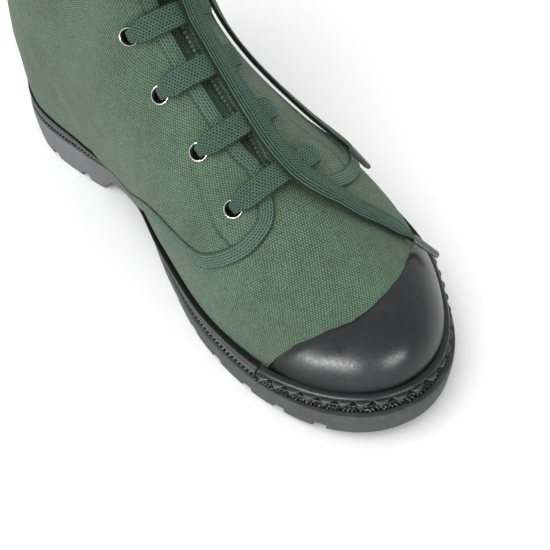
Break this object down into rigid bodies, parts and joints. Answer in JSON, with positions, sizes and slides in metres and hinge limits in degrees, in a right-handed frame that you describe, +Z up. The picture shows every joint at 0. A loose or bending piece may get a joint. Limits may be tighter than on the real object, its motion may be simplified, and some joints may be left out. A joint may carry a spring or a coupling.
{
  "type": "tactical boot",
  "caption": "Ankle-high canvas field boot for a left foot, with a rubber toe cap and side band, a lugged rubber sole and a flat lace through metal eyelets.",
  "frame": {"origin": "on the floor under the middle of the boot's box", "axes": "+X toward the toe, +Y to the boot's left, which is its outer side, +Z up"},
  "size_m": [0.2978, 0.1096, 0.1662],
  "materials": {
    "canvas": "plain weave cotton canvas, dark green, matte",
    "tape": "ribbed woven edge tape, darker blue green",
    "lace": "flat woven lace with lengthwise ribs",
    "lining": "plain cotton lining, matte",
    "rubber": "black moulded rubber, satin",
    "cap": "black smooth rubber, satin gloss",
    "sole": "dark grey rubber, matte",
    "metal": "bright plated eyelets",
    "tip": "dark lace tips, half gloss"
  },
  "bodies": {
    "root": {"outsole": "sole", "foxing": "rubber", "toe_bumper": "rubber", "toe_cap": "cap", "upper": "canvas", "quarter_medial": "canvas", "quarter_lateral": "canvas", "binding_medial": "tape", "binding_lateral": "tape", "tongue": "lining", "insole": "lining", "eyelet_medial_1": "metal", "eyelet_medial_2": "metal", "eyelet_medial_3": "metal", "eyelet_medial_4": "metal", "eyelet_medial_5": "metal", "eyelet_lateral_1": "metal", "eyelet_lateral_2": "metal", "eyelet_lateral_3": "metal", "eyelet_lateral_4": "metal", "eyelet_lateral_5": "metal", "lace_bar_1": "lace", "lace_bar_2": "lace", "lace_bar_3": "lace", "lace_bar_4": "lace", "lace_end_medial": "lace", "lace_end_lateral": "lace", "aglet_medial": "tip", "aglet_lateral": "tip"}
  },
  "joints": []
}
